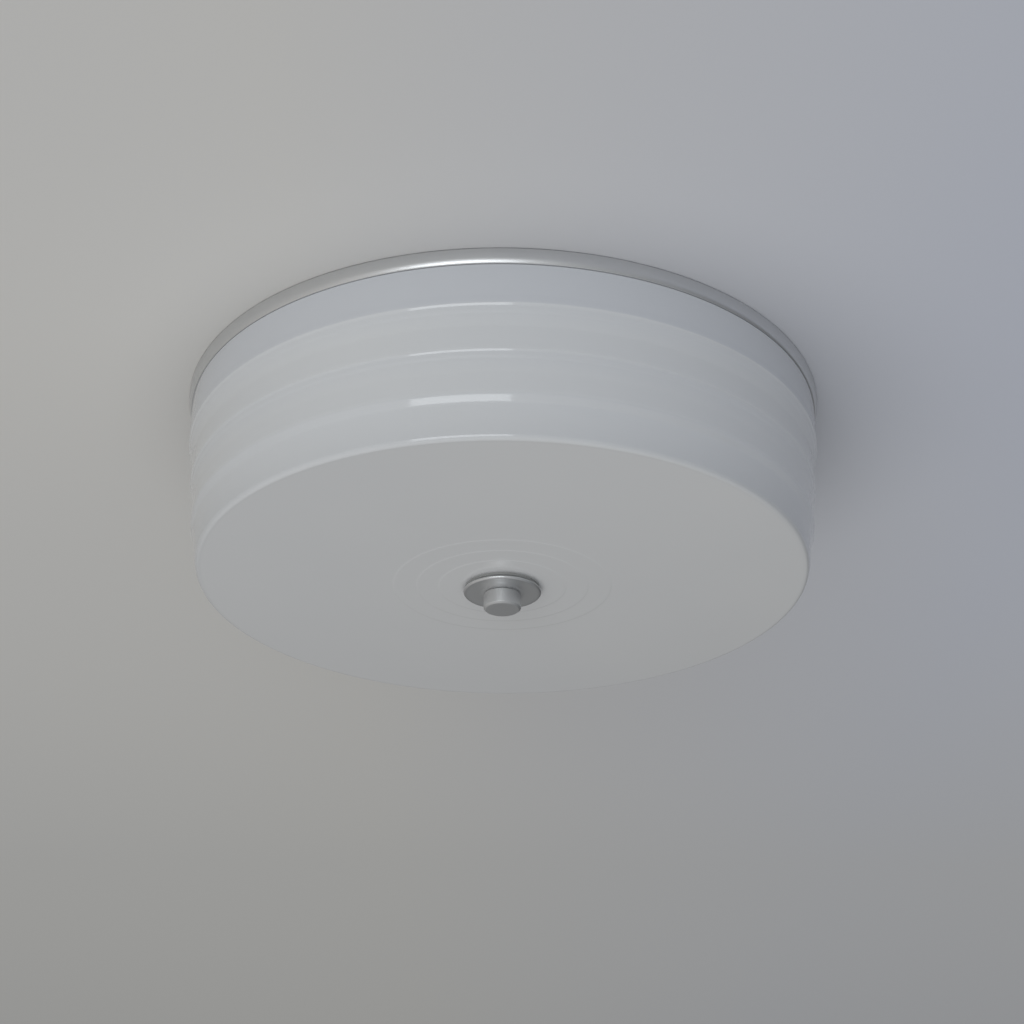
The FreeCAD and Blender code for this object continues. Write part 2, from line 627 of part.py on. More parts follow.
def make_brackets():
    """Bent steel bracket for each lampholder, and the rivets that hold it to the pan plate."""
    rivets = []
    drop = "lamp_level - plate_under - bracket_below"
    points = [("-bracket_wall", "0"), ("bracket_foot", "0"), ("bracket_foot", "-bracket_wall"),
              ("0", "-bracket_wall"), ("0", drop), ("-bracket_wall", drop)]
    rivet_low = "plate_under - bracket_wall - rivet_head_height"
    rivet = [("0", rivet_low), ("rivet_head_radius", rivet_low),
             ("rivet_head_radius", "plate_under - bracket_wall"),
             ("rivet_radius", "plate_under - bracket_wall"), ("rivet_radius", "plate_top"),
             ("rivet_head_radius", "plate_top"), ("rivet_head_radius", "plate_top + rivet_head_height"),
             ("0", "plate_top + rivet_head_height")]
    for side, sign, angle in SIDES:
        place = (f"{-sign} * holder_back", f"{sign} * lamp_offset", "plate_under")
        body = new_body("holder_bracket_" + side, place, half_turn(angle))
        pad_outline(body, points, "XZ_Plane", "bracket_width")
        level = "lamp_level - plate_under"
        shank = "holder_screw_radius + fit_gap"
        cut_holes(body, "bracket_face_" + side, [
            ("0", level, "lead_hole_radius"),
            ("0", f"{level} + holder_screw_spread", shank),
            ("0", f"{level} - holder_screw_spread", shank)], "YZ_Plane")
        setback = "holder_back - rivet_place"
        hole = "rivet_radius + fit_gap"
        cut_holes(body, "bracket_foot_" + side,
                  [(setback, "rivet_spread", hole), (setback, "-rivet_spread", hole)])
        node(body, "holder_bracket_" + side)
        for index, spread in enumerate(("rivet_spread", "-rivet_spread")):
            spot = (f"{-sign} * rivet_place", f"{sign} * (lamp_offset + {spread})", "0")
            rivets.append(turned_body(f"rivet_{side}_{index}", rivet, spot))
    group("bracket_rivets", rivets)


def ribs(low, radius, depth, turns):
    """Points of a rolled thread: out to each crest and back, one pair for each turn."""
    points = []
    for turn in range(turns):
        points.append((radius, f"{low} + {turn} * thread_pitch"))
        points.append((f"{radius} + {depth}", f"{low} + {turn + 0.5} * thread_pitch"))
    points.append((radius, f"{low} + {turns} * thread_pitch"))
    return points


def make_lampholder(side, sign, angle):
    """Lampholder, its brass screw shell and its spring contact; own Z runs out along the lamp."""
    place = (f"{-sign} * holder_back", f"{sign} * lamp_offset", "lamp_level")
    turn = half_turn(angle, ALONG_X)
    points = [("0", "0"), ("holder_radius", "0"), ("holder_radius", "holder_length"),
              ("holder_inner", "holder_length"), ("holder_inner", "holder_floor"),
              ("0", "holder_floor")]
    body = turned_body("lampholder_" + side, points, place, turn)
    round_rims(body, "holder_rounding_" + side, "Fillet", "holder_wall / 2",
               [("holder_radius", "0"), ("holder_radius", "holder_length")])
    before = body.Shape.Volume
    sketch = new_sketch(body, "holder_screw_holes_" + side, "XY_Plane")
    shank = "holder_screw_radius + fit_gap"
    circles(sketch, [("holder_screw_spread", "0", shank), ("-holder_screw_spread", "0", shank)])
    pocket = body.newObject("PartDesign::Pocket", "holder_screw_pocket_" + side)
    pocket.Profile = sketch
    pocket.Reversed = True
    pocket.setExpression("Length", formula("holder_screw_reach + fit_gap"))
    doc.recompute()
    if not body.Shape.Volume < before:
        raise RuntimeError("the holder's screw holes cut nothing")
    node(body, "lampholder_" + side)

    base = "holder_floor"
    low = base + " + shell_length / 8"
    turns = 5
    inside = ribs(low, "shell_inner", "thread_height", turns)
    outside = [(radius + " + shell_wall", height) for radius, height in inside]
    top = "holder_floor + shell_length"
    shell = [("shell_flange_hole", base), ("shell_inner + shell_wall", base)] + outside
    shell += [("shell_inner + shell_wall", top), ("shell_inner", top)] + list(reversed(inside))
    shell += [("shell_inner", base + " + shell_wall"), ("shell_flange_hole", base + " + shell_wall")]
    node(turned_body("screw_shell_" + side, shell, place, turn), "screw_shell_" + side)

    bend = "leaf_crown + leaf_rise"
    left = [("-leaf_foot", "holder_floor"), (f"-({bend})", "holder_floor"),
            ("-leaf_crown", "holder_floor + leaf_rise")]
    lower = left + [(f"-({across})", height) for across, height in reversed(left)]
    upper = [(across, height + " + leaf_thickness") for across, height in reversed(lower)]
    leaf = pad_outline(new_body("center_contact_" + side, place, turn), lower + upper,
                       "XZ_Plane", "leaf_width")
    node(leaf, "center_contact_" + side)


def make_holder_screws():
    """Two screws through each bracket into the back wall of its lampholder."""
    screws = []
    low = "-bracket_wall - screw_head_height"
    points = [("0", low), ("holder_screw_head", low), ("holder_screw_head", "-bracket_wall"),
              ("holder_screw_radius", "-bracket_wall"), ("holder_screw_radius", "holder_screw_reach"),
              ("0", "holder_screw_reach")]
    for side, sign, angle in SIDES:
        for index, spread in enumerate(("holder_screw_spread", "-holder_screw_spread")):
            place = (f"{-sign} * holder_back", f"{sign} * lamp_offset", f"lamp_level + {spread}")
            turn = half_turn(angle, ALONG_X)
            screws.append(turned_body(f"holder_screw_{side}_{index}", points, place, turn))
    group("holder_screws", screws)


def make_bushings():
    """Plastic bushing where each pair of leads passes the pan plate."""
    bushings = []
    low = "plate_under - bushing_flange_height"
    high = "plate_top + bushing_flange_height"
    flange = "bushing_outer + bushing_flange"
    points = [("bushing_inner", low), (flange, low), (flange, "plate_under"),
              ("bushing_outer", "plate_under"), ("bushing_outer", "plate_top"),
              (flange, "plate_top"), (flange, high), ("bushing_inner", high)]
    for side, sign, angle in SIDES:
        place = (f"{-sign} * bushing_place", f"{sign} * lamp_offset", "0")
        bushings.append(turned_body("bushing_" + side, points, place))
    group("lead_bushings", bushings)


def make_leads():
    """Insulated leads from each lampholder up through the pan to the two wire connectors."""
    near = "lamp_offset - lead_spacing / 2"
    far = "lamp_offset + lead_spacing / 2"
    inside = "connector_mouth - connector_cavity_depth"
    entry = "connector_offset + lead_spacing / 2"
    exit_place = "connector_offset - lead_spacing / 2"
    short = [("-holder_back", near, "lamp_level"), ("-bushing_place", near, "lamp_level"),
             ("-bushing_place", near, "wire_level"), ("-near_lead_bend", near, "wire_level"),
             ("-near_lead_entry", entry, "wire_level"), (f"-({inside})", entry, "wire_level")]
    long = [("-holder_back", far, "lamp_level"), ("-bushing_place", far, "lamp_level"),
            ("-bushing_place", far, "wire_level"), ("far_lead_reach", far, "wire_level"),
            ("far_lead_reach", f"-({exit_place})", "wire_level"),
            (inside, f"-({exit_place})", "wire_level")]
    wire("hot_lead_a", short, "lead_radius")
    wire("neutral_lead_a", long, "lead_radius")
    wire("neutral_lead_b", short, "lead_radius", 180.0)
    wire("hot_lead_b", long, "lead_radius", 180.0)
    points = [("0", "connector_cavity_depth"), ("connector_cavity_radius", "connector_cavity_depth"),
              ("connector_cavity_radius", "0"), ("connector_radius", "0"),
              ("connector_radius", "connector_length / 2"),
              ("connector_tip_radius", "connector_length"), ("0", "connector_length")]
    for label, sign, angle in (("hot_connector", -1, 0.0), ("neutral_connector", 1, 180.0)):
        place = (f"{sign} * connector_mouth", f"{-sign} * connector_offset", "wire_level")
        node(turned_body(label, points, place, half_turn(angle, ALONG_X)), label)


def wave(share):
    """A smooth step from 0 to 1 that is level at both ends."""
    return (1 - math.cos(math.pi * share)) / 2


def glass_side():
    """Outer wall, rim to heel: a neck, three ripples joined by cosine steps, and a lower wall."""
    neck = number("lip_inner - neck_gap")
    rim = number("-seat_depth - rim_gap")
    crest = number("-shoulder_depth")
    foot = number("glass_under + foot_height")
    pitch = (crest - foot) / 2
    first = number("lip_inner - neck_gap + shoulder_bulge")
    second = first - number("shoulder_step")
    third = second - number("ripple_step")
    depth = number("ripple_depth")
    marks = [(neck - number("rim_inset"), rim), (neck, -number("lip_depth")), (first, crest),
             (second - depth, crest - pitch / 2), (second, crest - pitch),
             (third - depth, crest - 1.5 * pitch), (third, foot)]
    points = []
    steps = 12
    quarter = math.pi / 2
    for span, ((start, high), (end, low)) in enumerate(zip(marks, marks[1:])):
        for step in range(steps):
            share = step / steps
            rise = math.sin(quarter * share) if span < 2 else wave(share)
            points.append((start + (end - start) * rise, high + (low - high) * share))
    heel = number("glass_under + crown + corner_round")
    drop = third - number("heel_inset")
    for step in range(steps + 1):
        share = step / steps
        points.append((third + (drop - third) * share ** 2, foot + (heel - foot) * share))
    return points


def glass_underside(edge):
    """Underside, edge to hole: a shallow crown with rings pressed in, flat round the hole."""
    points = []
    flat = number("hole_seat_radius")
    low = number("glass_under")
    crown = number("crown")
    first = number("ring_first")
    pitch = number("ring_pitch")
    steps = 60
    for step in range(steps + 1):
        radius = edge + (flat - edge) * step / steps
        share = (radius - flat) / (edge - flat)
        fade = math.sin(math.pi * min(1.0, 2 * share)) if share < 0.5 else 0.0
        ring = math.cos(2 * math.pi * (radius - first) / pitch)
        height = low + crown * share ** 2 + number("ring_depth") * fade * (1 - ring) / 2
        points.append((radius, height))
    return points


def glass_corner(heel):
    """Quarter round from the foot of the wall to the edge of the underside."""
    radius = number("corner_round")
    middle = (heel[0] - radius, heel[1])
    steps = 8
    arc = []
    for step in range(1, steps):
        angle = math.pi / 2 * step / steps
        arc.append((middle[0] + radius * math.cos(angle), middle[1] - radius * math.sin(angle)))
    return arc


def inward(points, wall):
    """The same line, moved into the glass square to itself."""
    moved = []
    for place, (across, up) in enumerate(points):
        before = points[max(place - 1, 0)]
        after = points[min(place + 1, len(points) - 1)]
        run, rise = after[0] - before[0], after[1] - before[1]
        length = math.hypot(run, rise)
        moved.append((across + wall * rise / length, up - wall * run / length))
    return moved


def smooth(points):
    """A smooth edge through (radius, height) points."""
    curve = Part.BSplineCurve()
    curve.interpolate([FreeCAD.Vector(across, 0, up) for across, up in points])
    return curve.toShape()


def make_glass():
    """Opal glass drum: its rippled outline and the same line a wall further in, turned about Z."""
    side = glass_side()
    edge = side[-1][0] - number("corner_round")
    outer = side + glass_corner(side[-1]) + glass_underside(edge)
    inner = inward(outer, number("glass_wall"))
    rim = outer[0][1]
    below = rim - number("glass_wall") / 4
    inner = [(inner[0][0], rim)] + [spot for spot in inner if spot[1] < below]
    hole = number("glass_hole")
    low, floor = number("glass_under"), number("glass_floor")
    inner[-1] = (inner[-1][0], floor)
    ends = [(outer[-1], (hole, low)), ((hole, low), (hole, floor)), ((hole, floor), inner[-1]),
            (inner[0], outer[0])]
    edges = [smooth(outer), smooth(inner)]
    for start, end in ends:
        edges.append(Part.makeLine(FreeCAD.Vector(start[0], 0, start[1]),
                                   FreeCAD.Vector(end[0], 0, end[1])))
    face = Part.Face(Part.Wire(Part.__sortEdges__(edges)))
    shade = doc.addObject("Part::Feature", "glass_shade")
    solid = face.revolve(FreeCAD.Vector(), FreeCAD.Vector(0, 0, 1), 360)
    shade.Shape = solid if solid.Volume > 0 else solid.reversed()
    shade.Placement = FreeCAD.Placement(FreeCAD.Vector(), UPRIGHT)
    node(shade, "glass_shade")


def make_finial():
    """Rubber grommet and washer, round cap and turned finial on the end of the rod."""
    clear = "rod_radius + soft_gap"
    sleeve = "glass_hole - fit_gap"
    flange = "glass_hole + grommet_flange"
    top = "glass_floor + rubber_thickness"
    grommet = [(clear, "glass_under"), (sleeve, "glass_under"), (sleeve, "glass_floor"),
               (flange, "glass_floor"), (flange, top), (clear, top)]
    node(turned_body("hole_grommet", grommet), "hole_grommet")
    washer = tube(clear, "washer_radius", "washer_under", "glass_under")
    node(turned_body("cap_washer", washer), "cap_washer")
    cap = turned_body("finial_cap", tube(clear, "cap_radius", "cap_under", "washer_under"))
    round_rims(cap, "cap_lower_edge", "Fillet", "cap_round", [("cap_radius", "cap_under")])
    node(cap, "finial_cap")
    bore = "rod_radius + thread_gap"
    end = "rod_bottom - knob_hole_spare"
    neck = "knob_radius - knob_neck_inset"
    shoulder = "cap_under - knob_neck_height"
    knob = [("0", "knob_under"), ("knob_radius", "knob_under"), ("knob_radius", shoulder),
            (neck, shoulder), (neck, "cap_under"), (bore, "cap_under"), (bore, end), ("0", end)]
    body = turned_body("finial_knob", knob)
    round_rims(body, "knob_lower_edge", "Chamfer", "knob_chamfer", [("knob_radius", "knob_under")])
    node(body, "finial_knob")


def make_lamp(side, sign, angle):
    """Screw-in lamp, contact to globe; own Z runs from the contact to the tip."""
    place = (f"{-sign} * (holder_back - lamp_start)", f"{sign} * lamp_offset", "lamp_level")
    turn = half_turn(angle, ALONG_X)
    contact = tube("0", "contact_radius", "0", "contact_height")
    node(turned_body("lamp_contact_" + side, contact, place, turn), "lamp_contact_" + side)
    ring = "screw_cap_radius - thread_height - cap_wall"
    insulator = [("0", "contact_height"), ("contact_radius", "contact_height"),
                 (ring, "insulator_height"), ("0", "insulator_height")]
    node(turned_body("lamp_insulator_" + side, insulator, place, turn), "lamp_insulator_" + side)

    low = "insulator_height"
    valley = "screw_cap_radius - thread_height"
    turns = 5
    outside = ribs(low, valley, "thread_height", turns)
    inside = [(radius + " - cap_wall", height) for radius, height in outside]
    floor = [("0", low), (valley, low)]
    top = "housing_start"
    shell = floor + outside[1:] + [(valley, top), (valley + " - cap_wall", top)]
    shell += list(reversed(inside[1:])) + [(valley + " - cap_wall", low + " + cap_wall"),
                                           ("0", low + " + cap_wall")]
    node(turned_body("lamp_screw_cap_" + side, shell, place, turn), "lamp_screw_cap_" + side)

    board_low = "globe_mouth - board_thickness"
    wall = "globe_wall"
    housing = [("0", "housing_start"), ("housing_neck_radius", "housing_start"),
               ("globe_mouth_radius", "globe_mouth"), ("globe_mouth_radius - " + wall, "globe_mouth"),
               ("globe_mouth_radius - " + wall, board_low), ("0", board_low)]
    node(turned_body("lamp_housing_" + side, housing, place, turn), "lamp_housing_" + side)
    board = tube("0", "board_radius", board_low, "globe_mouth")
    node(turned_body("light_board_" + side, board, place, turn), "light_board_" + side)
    make_globe(side, place, turn)


def make_globe(side, place, turn):
    """Hollow globe: one ball less a smaller one, cut off where it meets the housing."""
    ball = doc.addObject("Part::Sphere", "globe_ball_" + side)
    ball.setExpression("Radius", formula("globe_radius"))
    put(ball, ("0", "0", "globe_centre"))
    inside = doc.addObject("Part::Sphere", "globe_inside_" + side)
    inside.setExpression("Radius", formula("globe_radius - globe_wall"))
    put(inside, ("0", "0", "globe_centre"))
    shell = doc.addObject("Part::Cut", "globe_shell_" + side)
    shell.Base = ball
    shell.Tool = inside
    keep = doc.addObject("Part::Cylinder", "globe_keep_" + side)
    keep.setExpression("Radius", formula("2 * globe_radius"))
    keep.setExpression("Height", formula("2 * globe_radius"))
    put(keep, ("0", "0", "globe_mouth"))
    globe = doc.addObject("Part::Common", "lamp_globe_" + side)
    globe.Base = shell
    globe.Tool = keep
    node(put(globe, place, turn), "lamp_globe_" + side)


def check_all():
    """Stop if any object has failed or any sub-part has no sound shape."""
    doc.recompute()
    for thing in doc.Objects:
        if "Invalid" in thing.State or "Error" in thing.State:
            raise RuntimeError(f"{thing.Label} failed: {thing.State}")
    for thing in NODES:
        if thing.Shape.isNull() or not thing.Shape.isValid() or not thing.Shape.Solids:
            raise RuntimeError(f"{thing.Label} has no sound shape")


def write_all():
    """Write each sub-part to a file named after it."""
    os.makedirs("parts", exist_ok=True)
    for thing in NODES:
        thing.Shape.exportStep(f"parts/{thing.Label}.step")
        box = thing.Shape.BoundBox
        print(f"{thing.Label}: {len(thing.Shape.Solids)} solids, {thing.Shape.Volume:.1f} mm3, "
              f"z {box.ZMin:.2f} to {box.ZMax:.2f}")


fill_sheet()
make_trim_ring()
make_pan()
make_insulation_pad()
make_strap()
make_fixture_fasteners()
make_ground()
make_rod()
make_brackets()
make_holder_screws()
make_bushings()
make_leads()
for half in SIDES:
    make_lampholder(*half)
    make_lamp(*half)
make_glass()
make_finial()
check_all()
write_all()
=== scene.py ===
"""Looks of the flush mount ceiling light: satin nickel trim ring, rippled opal glass drum,
cap and turned finial, and the pan, lamps, holders and fittings behind the glass.

Metres, +Z up. The origin is the middle of the light on the ceiling, so it hangs to -Z.
Outlines are rows of (radius, height) in millimetres, and depths are millimetres below the
ceiling.
"""
import json
import math

import bpy
import numpy as np
from mathutils import Matrix, Vector


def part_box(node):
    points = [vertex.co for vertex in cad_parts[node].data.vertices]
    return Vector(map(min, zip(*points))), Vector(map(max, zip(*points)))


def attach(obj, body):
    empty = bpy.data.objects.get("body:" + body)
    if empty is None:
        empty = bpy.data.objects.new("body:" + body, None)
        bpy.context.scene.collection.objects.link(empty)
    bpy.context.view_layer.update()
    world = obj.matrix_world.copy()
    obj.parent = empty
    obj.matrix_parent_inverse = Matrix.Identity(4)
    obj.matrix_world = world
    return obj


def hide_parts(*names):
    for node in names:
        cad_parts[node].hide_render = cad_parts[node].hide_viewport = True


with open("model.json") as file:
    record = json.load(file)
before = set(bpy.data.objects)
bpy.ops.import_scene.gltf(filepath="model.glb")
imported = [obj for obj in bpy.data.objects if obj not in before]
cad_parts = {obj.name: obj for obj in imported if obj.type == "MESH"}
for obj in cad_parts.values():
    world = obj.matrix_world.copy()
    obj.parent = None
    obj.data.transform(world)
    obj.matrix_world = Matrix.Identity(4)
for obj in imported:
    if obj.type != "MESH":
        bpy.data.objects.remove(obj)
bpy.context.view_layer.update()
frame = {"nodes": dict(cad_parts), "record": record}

MM = 0.001
TURN_STEPS = 240
MERGE_DISTANCE = 1e-7

# The photograph's camera: focal length and frame in pixels, sensor width in millimetres, distance
# from the origin in metres, and its angles in degrees.
FOCAL_PIXELS = 2100.0
FRAME_PIXELS = 1024.0
SENSOR_MM = 36.0
CAMERA_DISTANCE = 1.1148
CAMERA_BELOW = 28.766
CAMERA_YAW = -0.250
CAMERA_PITCH = 2.496
CAMERA_ROLL = 0.371


# ---------------------------------------------------------------- shader formulas

class Value:
    """A shader socket that can be written in formulas; each operator adds a Math node."""

    def __init__(self, finish, socket):
        self.finish = finish
        self.socket = socket

    def _with(self, operation, first, second=None, clamp=False):
        sockets = {0: first}
        if second is not None:
            sockets[1] = second
        settings = {"operation": operation, "use_clamp": clamp}
        return self.finish.node("ShaderNodeMath", settings, sockets)[0]

    def __add__(self, other):
        return self._with("ADD", self, other)

    def __radd__(self, other):
        return self._with("ADD", other, self)

    def __sub__(self, other):
        return self._with("SUBTRACT", self, other)

    def __rsub__(self, other):
        return self._with("SUBTRACT", other, self)

    def __mul__(self, other):
        return self._with("MULTIPLY", self, other)

    def __rmul__(self, other):
        return self._with("MULTIPLY", other, self)

    def __truediv__(self, other):
        return self._with("DIVIDE", self, other)

    def __pow__(self, other):
        return self._with("POWER", self, other)

    def clamped(self):
        """The same value, kept between 0 and 1."""
        return self._with("ADD", self, 0.0, clamp=True)

    def above(self, low, high):
        """0 up to low, 1 from high on, a straight ramp between."""
        return ((self - low) / (high - low)).clamped()


class Outputs:
    """The outputs of one node, by number or name."""

    def __init__(self, finish, node):
        self.finish = finish
        self.node = node

    def __getitem__(self, key):
        return Value(self.finish, self.node.outputs[key])


class Nodes:
    """A node tree, emptied; place is the point, or for the sky the direction, that is shaded."""

    def __init__(self, tree, place):
        self.tree = tree
        self.tree.nodes.clear()
        self.place = self.node("ShaderNodeTexCoord")[place]

    def node(self, kind, settings=None, sockets=None):
        """Add a node, set its settings, then give each socket its value or its link."""
        made = self.tree.nodes.new(kind)
        for key, setting in (settings or {}).items():
            setattr(made, key, setting)
        for key, given in (sockets or {}).items():
            if isinstance(given, Value):
                self.tree.links.new(given.socket, made.inputs[key])
            else:
                made.inputs[key].default_value = given
        return Outputs(self, made)

    def noise(self, scale, detail=2.0, roughness=0.5, place=None):
        """Smooth noise between 0 and 1; scale is in grains per metre."""
        sockets = {"Vector": place or self.place, "Scale": scale, "Detail": detail,
                   "Roughness": roughness}
        return self.node("ShaderNodeTexNoise", None, sockets)[0]

    def vector(self, across, along, up):
        """A place made of three values."""
        return self.node("ShaderNodeCombineXYZ", None, {0: across, 1: along, 2: up})[0]

    def parts(self):
        """The three values of the place on the piece."""
        split = self.node("ShaderNodeSeparateXYZ", None, {0: self.place})
        return split[0], split[1], split[2]

    def radius(self):
        """Distance from the rod."""
        across, along, up = self.parts()
        return (across * across + along * along) ** 0.5

    def mix(self, factor, first, second):
        """First colour where factor is 0, second where it is 1."""
        sockets = {0: factor, 6: first, 7: second}
        return self.node("ShaderNodeMix", {"data_type": "RGBA"}, sockets)[2]


class Finish(Nodes):
    """One material; its surface is made last, by surface()."""

    def __init__(self, name):
        self.material = bpy.data.materials.new(name)
        self.material.use_nodes = True
        super().__init__(self.material.node_tree, "Object")

    def bump(self, height, strength, distance):
        """A normal tilted by a height."""
        sockets = {"Strength": strength, "Distance": distance, "Height": height}
        return self.node("ShaderNodeBump", None, sockets)[0]

    def surface(self, **sockets):
        """Finish with one Principled surface; underscores stand for the spaces in its names."""
        named = {key.replace("_", " "): given for key, given in sockets.items()}
        shader = self.node("ShaderNodeBsdfPrincipled", None, named)
        self.node("ShaderNodeOutputMaterial", None, {"Surface": shader["BSDF"]})
        return self.material


def rgb(red, green, blue):
    """An opaque colour."""
    return (red, green, blue, 1.0)


# ---------------------------------------------------------------- finishes

def spun_nickel():
    """Satin nickel plate with fine turning lines round the rod; the cap and finial are brushed
    rougher than the ring."""
    finish = Finish("spun_satin_nickel")
    lines_per_metre = 9000.0
    finial_reach = (0.0175, 0.0190)
    up = finish.parts()[2]
    lines = finish.vector(finish.radius() * lines_per_metre, up * lines_per_metre, 0.0)
    grain = finish.noise(1.0, 3.0, 0.6, lines)
    cloud = finish.noise(35.0, 3.0)
    colour = finish.mix(cloud, rgb(0.72, 0.73, 0.74), rgb(0.78, 0.783, 0.785))
    brushed = 1.0 - finish.radius().above(*finial_reach)
    roughness = 0.25 + grain * 0.10 + cloud * 0.04 + brushed * 0.16
    return finish.surface(Base_Color=colour, Metallic=1.0, Roughness=roughness,
                          Normal=finish.bump(grain, 0.12, 0.00003))


# Where painted shade darkens the colour of the glass: on the neck that faces up, the leaning side of
# each ripple, and the heel and its corner. Depths and radii in millimetres, each as the start and the
# end of a ramp.
NECK_SHADE_END = (27.6, 28.6)
RIPPLE_SHADES = ((28.2, 38.5), (51.0, 62.0), (72.5, 90.0))
RIPPLE_SHADE_START = 0.8
RIPPLE_SHADE_FULL = 4.0
HEEL_SHADE_DEPTH = (78.0, 93.0)
HEEL_SHADE_RADIUS = (152.0, 156.5)
CORNER_SHADE_DEPTH = (94.0, 95.7)
CORNER_SHADE_RADIUS = (155.2, 157.0)


def opal_glass():
    """Glossy opal glass: a milky body under a clear skin, faintly uneven as drawn glass is, with
    painted shade on the neck, on the leaning side of each ripple and toward the heel and its corner."""
    finish = Finish("opal_glass")
    across, along, up = finish.parts()
    depth = up * (-1.0 / MM)
    radius = finish.radius() * (1.0 / MM)
    cloud = finish.noise(14.0, 3.0)
    swirl = finish.noise(1.0, 2.0, 0.5, finish.vector(across * 22.0, along * 22.0, up * 60.0))
    colour = finish.mix(cloud, rgb(0.60, 0.61, 0.625), rgb(0.625, 0.632, 0.64))
    # Painted shade: the neck, which faces up, is darkened.
    neck_shade = 1.0 - depth.above(*NECK_SHADE_END)
    colour = finish.mix(neck_shade * 0.8, colour, rgb(0.535, 0.55, 0.585))
    # Painted shade: the leaning side of each ripple is darkened, to tone down the band that the lamps
    # light brighter there.
    for start, end in RIPPLE_SHADES:
        ripple_shade = depth.above(start, start + RIPPLE_SHADE_START) * (1.0 - depth.above(start + RIPPLE_SHADE_FULL, end))
        colour = finish.mix(ripple_shade * 0.6, colour, rgb(0.565, 0.577, 0.597))
    # Painted shade: the heel and its rounded corner are darkened, to damp the bright band and line that
    # the lamps put there.
    heel = depth.above(*HEEL_SHADE_DEPTH) * radius.above(*HEEL_SHADE_RADIUS)
    colour = finish.mix(heel, colour, rgb(0.545, 0.555, 0.57))
    corner = depth.above(*CORNER_SHADE_DEPTH) * radius.above(*CORNER_SHADE_RADIUS)
    colour = finish.mix(corner, colour, rgb(0.505, 0.515, 0.53))
    return finish.surface(Base_Color=colour, Roughness=0.08 + cloud * 0.04, IOR=1.5,
                          Coat_Weight=0.35, Coat_Roughness=0.04,
                          Normal=finish.bump(swirl, 0.10, 0.0008))


def plated_steel(name, light, dark, roughness):
    """Zinc or nickel plated pressed steel: a faint crystal cloud and fine scratches."""
    finish = Finish(name)
    cloud = finish.noise(160.0, 4.0, 0.6)
    scratch = finish.noise(2600.0, 2.0)
    colour = finish.mix(cloud, dark, light)
    return finish.surface(Base_Color=colour, Metallic=1.0, Roughness=roughness + scratch * 0.12,
                          Normal=finish.bump(scratch, 0.15, 0.00003))


def moulded(name, light, dark, roughness):
    """Moulded plastic, rubber or enamel: an even colour with a fine skin."""
    finish = Finish(name)
    cloud = finish.noise(90.0, 3.0)
    skin = finish.noise(1800.0, 2.0)
    colour = finish.mix(cloud, dark, light)
    return finish.surface(Base_Color=colour, Roughness=roughness + skin * 0.08,
                          Normal=finish.bump(skin, 0.25, 0.00004))


def glazed_porcelain():
    """White glazed porcelain with a soft orange peel and a few darker specks."""
    finish = Finish("glazed_porcelain")
    peel = finish.noise(420.0, 2.0)
    specks = finish.noise(900.0, 1.0).above(0.72, 0.78)
    colour = finish.mix(specks, rgb(0.80, 0.79, 0.75), rgb(0.62, 0.60, 0.55))
    return finish.surface(Base_Color=colour, Roughness=0.16 + peel * 0.06, Coat_Weight=0.5,
                          Coat_Roughness=0.05, Normal=finish.bump(peel, 0.10, 0.0002))


def glass_fibre():
    """Matted glass fibre: crossed fine strands, straw coloured."""
    finish = Finish("glass_fibre")
    across, along, up = finish.parts()
    strands = finish.noise(1.0, 4.0, 0.7, finish.vector(across * 900.0, along * 160.0, up * 500.0))
    crossed = finish.noise(1.0, 4.0, 0.7, finish.vector(across * 160.0, along * 900.0, up * 500.0))
    fibre = (strands + crossed) * 0.5
    colour = finish.mix(fibre.above(0.35, 0.65), rgb(0.66, 0.56, 0.30), rgb(0.84, 0.78, 0.55))
    return finish.surface(Base_Color=colour, Roughness=0.92, Normal=finish.bump(fibre, 0.9, 0.0012))


def frosted_globe():
    """Frosted white diffuser of a lamp."""
    finish = Finish("frosted_globe")
    cloud = finish.noise(30.0, 2.0)
    frost = finish.noise(3000.0, 2.0)
    colour = finish.mix(cloud, rgb(0.80, 0.80, 0.785), rgb(0.84, 0.84, 0.83))
    return finish.surface(Base_Color=colour, Roughness=0.45 + frost * 0.1,
                          Normal=finish.bump(frost, 0.15, 0.00003))


